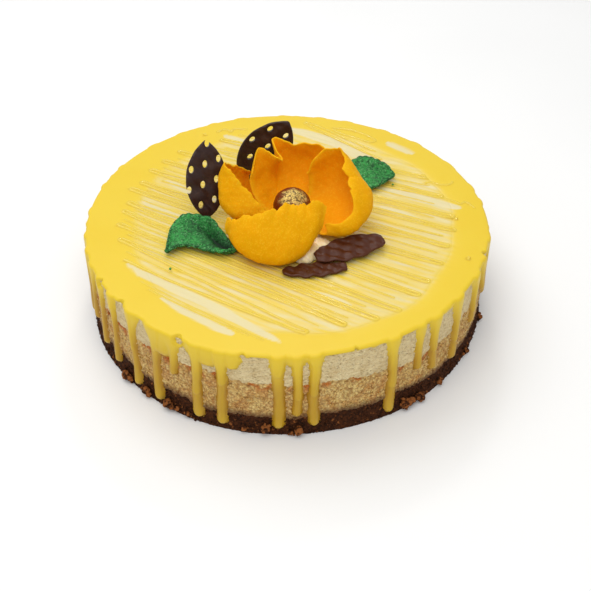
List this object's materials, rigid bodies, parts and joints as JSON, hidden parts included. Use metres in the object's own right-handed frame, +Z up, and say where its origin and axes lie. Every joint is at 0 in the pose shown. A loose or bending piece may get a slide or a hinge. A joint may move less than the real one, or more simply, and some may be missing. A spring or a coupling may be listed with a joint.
{
  "type": "glazed layer cake",
  "caption": "Round layer cake with a crumb base, a baked layer and cream under dripping yellow glaze, topped by a sugar flower, leaves and chocolate plates.",
  "frame": {"origin": "middle of the cake's flat foot, on the plane that the cake stands on", "axes": "+Z up through the middle of the cake, -Y towards the viewer, +X to the viewer's right"},
  "size_m": [0.2423, 0.2474, 0.1013],
  "materials": {
    "crumb": "matte",
    "baked": "matte",
    "cream": "satin",
    "glaze": "gloss",
    "petal": "matte",
    "pearl": "satin",
    "dab": "satin",
    "leaf": "matte",
    "chocolate": "satin"
  },
  "bodies": {
    "root": {"crumb_base": "crumb", "baked_layer": "baked", "cream_layer": "cream", "glaze": "glaze", "petal_front": "petal", "petal_left": "petal", "petal_back": "petal", "petal_right": "petal", "pearl": "pearl", "cream_dab": "dab", "leaf_left": "leaf", "leaf_right": "leaf", "chocolate_left": "chocolate", "chocolate_rear": "chocolate", "chocolate_upper": "chocolate", "chocolate_lower": "chocolate"}
  },
  "joints": []
}
